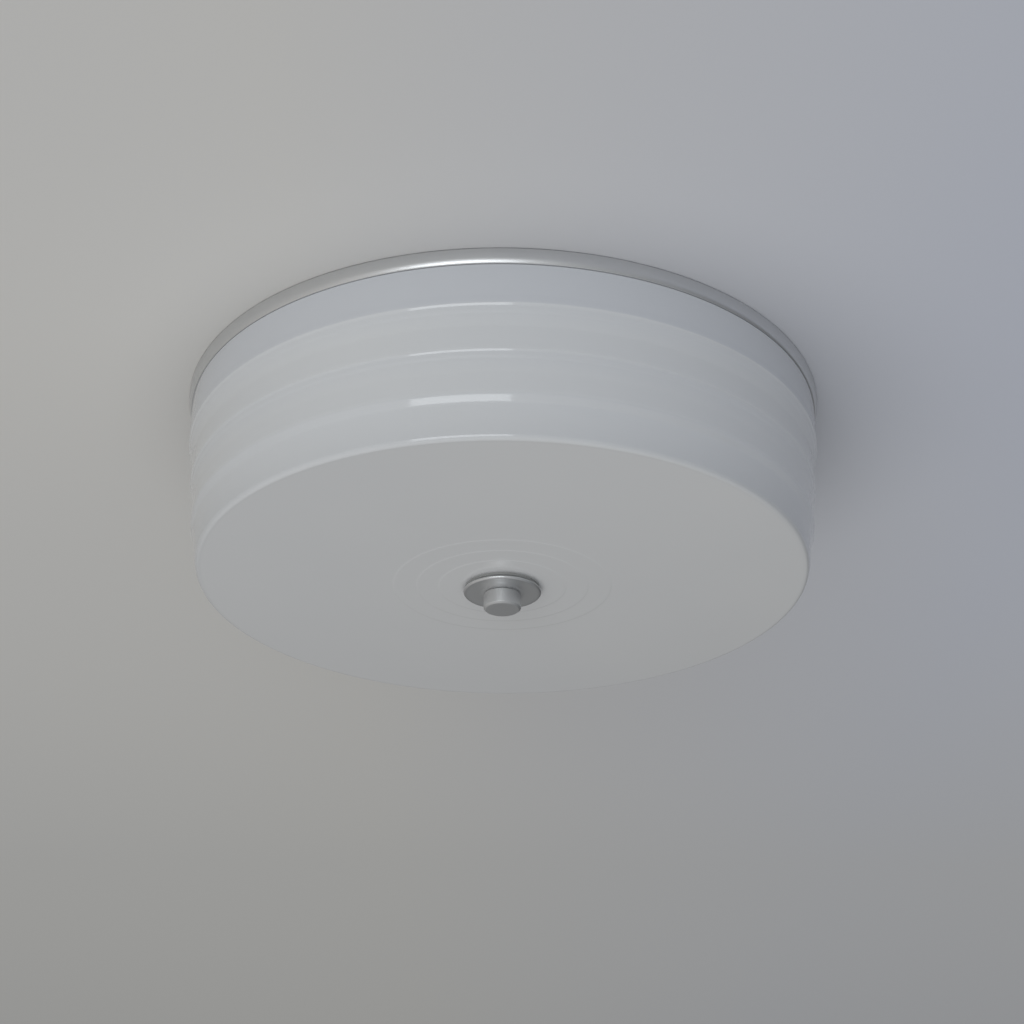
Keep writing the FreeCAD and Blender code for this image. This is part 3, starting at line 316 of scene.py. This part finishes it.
# Material slot: (name, light colour, dark colour, roughness).
PLATED = {
    "zinc_steel": ("zinc_plated_steel", rgb(0.68, 0.69, 0.70), rgb(0.52, 0.53, 0.55), 0.30),
    "brass": ("bright_brass", rgb(0.84, 0.67, 0.34), rgb(0.70, 0.53, 0.24), 0.22),
    "copper": ("bare_copper", rgb(0.86, 0.50, 0.32), rgb(0.68, 0.36, 0.22), 0.26),
    "lamp_metal": ("nickel_plated_cap", rgb(0.78, 0.77, 0.74), rgb(0.64, 0.63, 0.60), 0.24),
    "board_aluminium": ("board_aluminium", rgb(0.84, 0.84, 0.84), rgb(0.74, 0.74, 0.75), 0.35),
}
MOULDED = {
    "white_enamel": ("white_enamel", rgb(0.80, 0.80, 0.79), rgb(0.74, 0.74, 0.73), 0.30),
    "green_screw": ("green_lacquer", rgb(0.08, 0.36, 0.14), rgb(0.05, 0.27, 0.10), 0.28),
    "rubber": ("grey_rubber", rgb(0.33, 0.33, 0.325), rgb(0.27, 0.27, 0.265), 0.62),
    "black_insulation": ("black_wire_jacket", rgb(0.035, 0.035, 0.037), rgb(0.02, 0.02, 0.022), 0.42),
    "white_insulation": ("white_wire_jacket", rgb(0.80, 0.80, 0.77), rgb(0.70, 0.70, 0.67), 0.42),
    "connector_plastic": ("orange_connector", rgb(0.80, 0.33, 0.06), rgb(0.66, 0.25, 0.04), 0.45),
    "bushing_plastic": ("black_bushing", rgb(0.05, 0.05, 0.052), rgb(0.03, 0.03, 0.032), 0.5),
    "black_glass": ("black_cap_glass", rgb(0.03, 0.03, 0.03), rgb(0.015, 0.015, 0.015), 0.12),
    "lamp_plastic": ("white_lamp_body", rgb(0.82, 0.82, 0.80), rgb(0.76, 0.76, 0.74), 0.32),
}


def make_finishes():
    """Every material slot of the light, by its name in the record."""
    finishes = {
        "satin_nickel": spun_nickel(),
        "opal_glass": opal_glass(),
        "porcelain": glazed_porcelain(),
        "insulation": glass_fibre(),
        "globe_plastic": frosted_globe(),
    }
    finishes.update({slot: plated_steel(*recipe) for slot, recipe in PLATED.items()})
    finishes.update({slot: moulded(*recipe) for slot, recipe in MOULDED.items()})
    return finishes


# ---------------------------------------------------------------- meshes

def turned_piece(name, outline, body, node, slot, finishes):
    """A closed solid of revolution.

    The outline runs down the outside and back up the inside, its last row equal to its first or
    its ends on the axis. Point (i, j) is row j turned by angle i: x = r cos, y = r sin, z = height.
    """
    radius, height = (outline[::-1] * MM).T
    angle = np.linspace(0.0, 2.0 * math.pi, TURN_STEPS, endpoint=False)
    x = np.outer(np.cos(angle), radius)
    y = np.outer(np.sin(angle), radius)
    z = np.broadcast_to(height, x.shape)
    points = np.stack([x, y, z], axis=-1).reshape(-1, 3)
    rows = len(radius)
    around, along = np.meshgrid(np.arange(TURN_STEPS), np.arange(rows - 1), indexing="ij")
    after = (around + 1) % TURN_STEPS
    quads = np.stack([around * rows + along, after * rows + along,
                      after * rows + along + 1, around * rows + along + 1], axis=-1).reshape(-1, 4)
    return finish_mesh(name, points, quads, body, node, finishes[slot])


def finish_mesh(name, points, quads, body, node, finish):
    """Put the points and faces into a mesh, weld its seams and poles, and let it ride on its body."""
    mesh = bpy.data.meshes.new(name)
    mesh.from_pydata(points.tolist(), [], quads.tolist())
    piece = bpy.data.objects.new(name, mesh)
    bpy.context.scene.collection.objects.link(piece)
    weld = piece.modifiers.new("weld", "WELD")
    weld.merge_threshold = MERGE_DISTANCE
    graph = bpy.context.evaluated_depsgraph_get()
    welded = bpy.data.meshes.new_from_object(piece.evaluated_get(graph))
    piece.modifiers.clear()
    piece.data = welded
    bpy.data.meshes.remove(mesh)
    welded.name = name
    welded.shade_smooth()
    welded.materials.clear()
    welded.materials.append(finish)
    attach(piece, body)
    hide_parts(node)
    return piece


def arc(middle, radius, start, end, steps):
    """Points of a round, from one angle in degrees to another, about a middle (radius, height)."""
    angle = np.radians(np.linspace(start, end, steps))
    return np.stack([middle[0] + radius * np.cos(angle), middle[1] + radius * np.sin(angle)], axis=1)


def spread_evenly(points, count, sharpness):
    """The same line with a given number of points, closer together where it bends."""
    run = np.diff(points, axis=0)
    length = np.hypot(run[:, 0], run[:, 1])
    heading = np.unwrap(np.arctan2(run[:, 1], run[:, 0]))
    bend = np.abs(np.gradient(heading))
    weight = np.concatenate([[0.0], np.cumsum(length + sharpness * bend)])
    wanted = np.linspace(0.0, weight[-1], count)
    return np.stack([np.interp(wanted, weight, points[:, 0]),
                     np.interp(wanted, weight, points[:, 1])], axis=1)


# The wall of the glass as its slope: (depth below the ceiling, degrees that the surface leans
# inward going down). From the rim: a neck that flares out under the lip of the ring, then three
# ripples, each with a sharp lean for its highlight and a softer one below, and the heel's facet.
WALL_SLOPE = np.array([
    (3.5, -42), (5.0, -30), (6.1, -14), (6.25, -64), (7.5, -64), (7.8, -1), (12.0, 0),
    (20.0, 0), (23.5, 0), (25.3, -3), (26.8, -1), (28.1, 2), (28.4, 23), (29.3, 23), (29.7, 11),
    (31.0, 11), (32.2, 19), (33.4, 11), (36.5, 9), (38.5, 5), (40.2, -1), (43.0, -1),
    (47.5, -1), (49.0, -2), (51.1, 2), (51.5, 23), (52.2, 23), (52.5, 9), (53.6, 8.5),
    (54.8, 18.8), (56.0, 8), (59.0, 6), (61.5, 3), (63.5, -1), (69.5, -1.5), (71.3, -2.5),
    (72.8, 4), (74.0, 19), (76.6, 20), (78.2, 9), (82.0, 7.5), (92.5, 7), (92.65, 23),
    (93.4, 23)])
DEPTH_STEP = 0.05
WALL_BLUR = 0.12        # smoothing of the outer slope, over this depth
INSIDE_BLUR = 3.0       # smoothing of the inner slope
RIM_RADIUS = 158.75
GLASS_WALL = 3.5
GLASS_HOLE = 5.2
CORNER_ROUND = 2.3
SEAT_FLAT = 22.0        # radius inside which the underside is level
RINGS = (32.5, 43.7, 55.5)
RING_WIDTH = 0.30
RING_STEP = 0.09


def wall_line(blur):
    """Wall of the glass, rim to heel: the radius is the running sum of the slope's tangent, and
    the slope is smoothed over a depth."""
    depth = np.arange(WALL_SLOPE[0, 0], WALL_SLOPE[-1, 0], DEPTH_STEP)
    lean = np.interp(depth, WALL_SLOPE[:, 0], WALL_SLOPE[:, 1])
    count = int(3 * blur / DEPTH_STEP)
    kernel = np.exp(-0.5 * (np.arange(-count, count + 1) * DEPTH_STEP / blur) ** 2)
    lean = np.convolve(np.pad(lean, count, mode="edge"), kernel / kernel.sum(), "valid")
    slope = np.tan(np.radians(lean))
    fall = np.concatenate([[0.0], np.cumsum((slope[1:] + slope[:-1]) / 2 * DEPTH_STEP)])
    return np.stack([RIM_RADIUS - fall, -depth], axis=1)


def underside_line(edge, bottom):
    """Underside, edge to seat: a shallow crown, with a small step up and outward at each ring."""
    radius_step = 0.1
    radius = np.arange(edge[0], SEAT_FLAT, -radius_step)
    share = (radius - SEAT_FLAT) / (edge[0] - SEAT_FLAT)
    crown = edge[1] - bottom - RING_STEP * len(RINGS)
    height = bottom + crown * share ** 2
    for place in RINGS:
        height = height + RING_STEP * (np.tanh((radius - place) / RING_WIDTH) + 1.0) / 2.0
    return np.stack([radius, height], axis=1)


def inside_line(outer, wall):
    """The outer line moved square to itself into the glass."""
    run = np.gradient(outer, axis=0)
    run = run / np.hypot(run[:, 0], run[:, 1])[:, None]
    return outer + wall * np.stack([run[:, 1], -run[:, 0]], axis=1)


def make_glass(finishes):
    """Rippled opal drum: outer line, hole, and the same line a wall further in, turned about the rod."""
    low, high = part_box("glass_shade")
    bottom, rim_height = low.z / MM, high.z / MM - 0.4
    hole_round = 0.5
    side = wall_line(WALL_BLUR)
    lean = math.radians(WALL_SLOPE[-1, 1])
    middle = side[-1] - CORNER_ROUND * np.array([math.cos(lean), -math.sin(lean)])
    corner = arc(middle, CORNER_ROUND, -math.degrees(lean), -88.0, 24)
    heel = corner[-1]
    underside = underside_line(heel, bottom)
    outer = spread_evenly(np.vstack([side, corner[1:], underside[1:]]), 340, 40.0)
    inner = inside_line(wall_line(INSIDE_BLUR), GLASS_WALL)
    inner = inner[(inner[:, 1] < rim_height) & (inner[:, 1] > heel[1] + 2.0 * GLASS_WALL)]
    base = underside[underside[:, 0] < heel[0] - GLASS_WALL] + [0.0, GLASS_WALL]
    inner = spread_evenly(np.vstack([inner, base]), 56, 6.0)[::-1]
    rim = np.array([[inner[-1, 0], outer[0, 1]], outer[0]])
    seat = np.array([[GLASS_HOLE + hole_round, outer[-1, 1]], [GLASS_HOLE, outer[-1, 1] + hole_round],
                     [GLASS_HOLE, inner[0, 1] - hole_round], [GLASS_HOLE + hole_round, inner[0, 1]]])
    line = np.vstack([outer, seat, inner, rim])
    return turned_piece("rippled_glass_drum", line, "shade", "glass_shade", "opal_glass", finishes)


def make_ring(finishes):
    """Rolled trim ring: sloping band, quarter-round lip, folded wall and a flange over the glass."""
    band_middle, band_round, sheet = (157.447, -3.69), 7.0, 0.65
    lip_middle, lip_round = (163.07, -6.94), 0.5
    bead_middle, bead_round = (161.3, -6.1), 0.3
    flange_hole, flange_low, flange_high, crease = 151.6, -3.2, -2.4, 0.2
    wall_in, wall_out, bend = 161.0, 161.8, 0.4
    outer = np.vstack([
        arc((164.6, -0.45), 0.4, 90.0, 8.0, 6),
        arc(band_middle, band_round, -5.0, -30.0, 20),
        arc(lip_middle, lip_round, -34.0, -150.0, 14),
        arc(bead_middle, bead_round, -123.0, -180.0, 5)])
    inner = np.array([
        [wall_in, flange_low - bend], [wall_in - bend, flange_low],
        [flange_hole + crease, flange_low], [flange_hole, flange_low + crease],
        [flange_hole, flange_high - crease], [flange_hole + crease, flange_high],
        [wall_out - bend, flange_high], [wall_out, flange_high - bend], [wall_out, -5.6]])
    fold = np.vstack([[[162.75, -6.2]], arc(band_middle, band_round - sheet, -22.0, -6.0, 8),
                      [[164.1, -0.3], [164.2, -0.05]]])
    line = np.vstack([outer, inner, fold, outer[:1]])
    return turned_piece("rolled_trim_ring", line, "fixture", "trim_ring", "satin_nickel", finishes)


CAP_TOP = -98.2
CAP_FACE = -100.8
CAP_RADIUS = 19.8
CAP_HOLE = 3.5
FINIAL_END = -109.5
FINIAL_RADIUS = 9.5
FINIAL_NECK = 8.6
FINIAL_BORE = 3.255
FINIAL_BORE_END = -107.6


def make_cap(finishes):
    """Round cap: flat top that falls to a thin rounded edge, and a face that dips slightly to
    the finial."""
    edge, face = CAP_RADIUS, CAP_FACE
    line = np.vstack([
        [[CAP_HOLE, CAP_TOP], [edge - 1.1, CAP_TOP], [edge - 0.35, face + 1.45]],
        arc((edge - 0.25, face + 1.20), 0.25, 80.0, 0.0, 6),
        arc((edge - 1.05, face + 1.10), 1.05, 0.0, -84.0, 16),
        [[edge - 1.3, face + 0.05], [12.0, face + 0.10], [9.8, face + 0.10], [9.6, face]],
        [[CAP_HOLE, face], [CAP_HOLE, CAP_TOP]]])
    return turned_piece("turned_cap", line, "cap", "finial_cap", "satin_nickel", finishes)


def make_knob(finishes):
    """Turned finial: neck groove, rounded shoulder, straight side, bevelled end, threaded hole."""
    top, low, side = CAP_FACE, FINIAL_END, FINIAL_RADIUS
    line = np.vstack([
        [[FINIAL_BORE, top], [FINIAL_NECK, top], [FINIAL_NECK, top - 0.55]],
        arc((side - 0.35, top - 1.05), 0.35, 90.0, 0.0, 6),
        [[side, low + 1.1]],
        arc((side - 0.3, low + 0.95), 0.3, 0.0, -40.0, 4),
        arc((side - 1.2, low + 0.35), 0.35, -50.0, -90.0, 5),
        [[side - 3.0, low], [0.0, low]],
        [[0.0, FINIAL_BORE_END], [FINIAL_BORE, FINIAL_BORE_END], [FINIAL_BORE, top]]])
    return turned_piece("turned_finial", line, "knob", "finial_knob", "satin_nickel", finishes)


def paint_frame(finishes):
    """Give every CAD node the finish of its own material slot."""
    slots = {part["node"]: part["material_slot"] for part in frame["record"]["subparts"]}
    for name, piece in frame["nodes"].items():
        piece.data.materials.clear()
        piece.data.materials.append(finishes[slots[name]])


# ---------------------------------------------------------------- room, light and camera

def ceiling_plaster():
    """Pale plaster seen from below, with painted light and shade: cooler and darker toward +X, darker
    toward the far side; from above it is clear, so that it hides nothing.
    """
    finish = Finish("ceiling_plaster")
    grain = finish.noise(420.0, 3.0)
    across, along, up = finish.parts()
    cloud = finish.noise(1.6, 2.0)
    # Painted light and shade: the plaster turns cooler and darker toward +X, with a random cloud mixed
    # in.
    painted_cool_shade_and_cloud = (across.above(-0.10, 0.30) * 0.9 + cloud * 0.3 - 0.1).clamped()
    colour = finish.mix(painted_cool_shade_and_cloud, rgb(0.625, 0.617, 0.598), rgb(0.515, 0.545, 0.635))
    # Painted shade: darker toward the far side, +Y.
    colour = finish.mix(along.above(-0.1, 0.8) * 0.7, colour, rgb(0.50, 0.50, 0.49))
    plaster = finish.node("ShaderNodeBsdfDiffuse", None,
                          {"Color": colour, "Normal": finish.bump(grain, 0.08, 0.0004)})
    clear = finish.node("ShaderNodeBsdfTransparent")
    back = finish.node("ShaderNodeNewGeometry")["Backfacing"]
    both = finish.node("ShaderNodeMixShader", None, {0: back, 1: plaster[0], 2: clear[0]})
    finish.node("ShaderNodeOutputMaterial", None, {"Surface": both[0]})
    return finish.material


def make_ceiling():
    """A wide ceiling with a round hole behind the pan: two circles of points and the faces between."""
    hole, reach, gap, count = 0.155, 6.0, 0.0002, 96
    angle = np.linspace(0.0, 2.0 * math.pi, count, endpoint=False)
    circle = np.stack([np.cos(angle), np.sin(angle), np.zeros(count)], axis=1)
    lift = np.array([0.0, 0.0, gap])
    points = np.vstack([circle * hole + lift, circle * reach + lift])
    first = np.arange(count)
    after = (first + 1) % count
    quads = np.stack([first, after, after + count, first + count], axis=1)
    mesh = bpy.data.meshes.new("ceiling")
    mesh.from_pydata(points.tolist(), [], quads.tolist())
    ceiling = bpy.data.objects.new("ceiling", mesh)
    bpy.context.scene.collection.objects.link(ceiling)
    mesh.materials.append(ceiling_plaster())


def toward(azimuth, elevation):
    """A direction: azimuth from -Y toward +X, elevation above the level, in degrees."""
    turn, rise = math.radians(azimuth), math.radians(elevation)
    return Vector((math.sin(turn) * math.cos(rise), -math.cos(turn) * math.cos(rise), math.sin(rise)))


def make_panel(name, azimuth, elevation, distance, width, height, power, colour):
    """A soft rectangular lamp that faces the light."""
    lamp = bpy.data.lights.new(name, "AREA")
    lamp.shape = "RECTANGLE"
    lamp.size = width
    lamp.size_y = height
    lamp.energy = power
    lamp.color = colour
    holder = bpy.data.objects.new(name, lamp)
    away = toward(azimuth, elevation)
    holder.location = away * distance
    holder.rotation_euler = away.to_track_quat("Z", "Y").to_euler()
    holder.visible_camera = False
    bpy.context.scene.collection.objects.link(holder)
    return holder


def make_light():
    """A window panel on the camera's side with a wider soft light round it, a soft fill from the
    floor, and a sky that falls off toward the far side, upward and to the right."""
    daylight, floor_bounce = (0.92, 0.97, 1.0), (1.0, 0.99, 0.97)
    make_panel("window", azimuth=-14.0, elevation=-14.0, distance=3.0, width=1.75, height=0.75,
               power=10.0, colour=daylight)
    near_fill = make_panel("near_fill", azimuth=-8.0, elevation=-8.0, distance=3.0, width=2.0,
                           height=1.0, power=16.2, colour=daylight)
    near_fill.visible_glossy = False
    floor_fill = make_panel("floor_fill", azimuth=-60.0, elevation=-80.0, distance=3.0, width=4.0,
                            height=4.0, power=35.0, colour=floor_bounce)
    floor_fill.visible_glossy = False
    world = bpy.data.worlds.new("sky")
    bpy.context.scene.world = world
    world.use_nodes = True
    sky = Nodes(world.node_tree, "Generated")
    across, along, up = sky.parts()
    strength = 0.28 - along * 0.17 - up * 0.13 - across * 0.14
    tint = sky.mix((0.5 + across * 0.5).clamped(), rgb(1.0, 0.985, 0.96), rgb(0.93, 0.965, 1.0))
    glow = sky.node("ShaderNodeBackground", None, {"Color": tint, "Strength": strength})
    sky.node("ShaderNodeOutputWorld", None, {"Surface": glow[0]})


def make_camera():
    """The photograph's camera: rows of the turn are its right, down and forward directions."""
    below, yaw, pitch, roll = (math.radians(angle) for angle in
                               (CAMERA_BELOW, CAMERA_YAW, CAMERA_PITCH, CAMERA_ROLL))
    base = Matrix(((1, 0, 0), (0, math.sin(below), -math.cos(below)),
                   (0, math.cos(below), math.sin(below))))
    turn_yaw = Matrix(((math.cos(yaw), 0, math.sin(yaw)), (0, 1, 0), (-math.sin(yaw), 0, math.cos(yaw))))
    turn_pitch = Matrix(((1, 0, 0), (0, math.cos(pitch), -math.sin(pitch)),
                         (0, math.sin(pitch), math.cos(pitch))))
    turn_roll = Matrix(((math.cos(roll), -math.sin(roll), 0), (math.sin(roll), math.cos(roll), 0),
                        (0, 0, 1)))
    right, down, forward = turn_roll @ turn_pitch @ turn_yaw @ base
    lens = bpy.data.cameras.new("photo_camera")
    lens.sensor_width = SENSOR_MM
    lens.lens = FOCAL_PIXELS / FRAME_PIXELS * SENSOR_MM
    lens.clip_start = 0.01
    camera = bpy.data.objects.new("photo_camera", lens)
    place = Vector((0.0, -math.cos(below), -math.sin(below))) * CAMERA_DISTANCE
    columns = Matrix((right, -down, -forward)).transposed()
    camera.matrix_world = Matrix.Translation(place) @ columns.to_4x4()
    bpy.context.scene.collection.objects.link(camera)
    bpy.context.scene.camera = camera


bpy.context.scene.view_settings.view_transform = "Standard"
finishes = make_finishes()
paint_frame(finishes)
make_glass(finishes)
make_ring(finishes)
make_cap(finishes)
make_knob(finishes)
make_ceiling()
make_light()
make_camera()
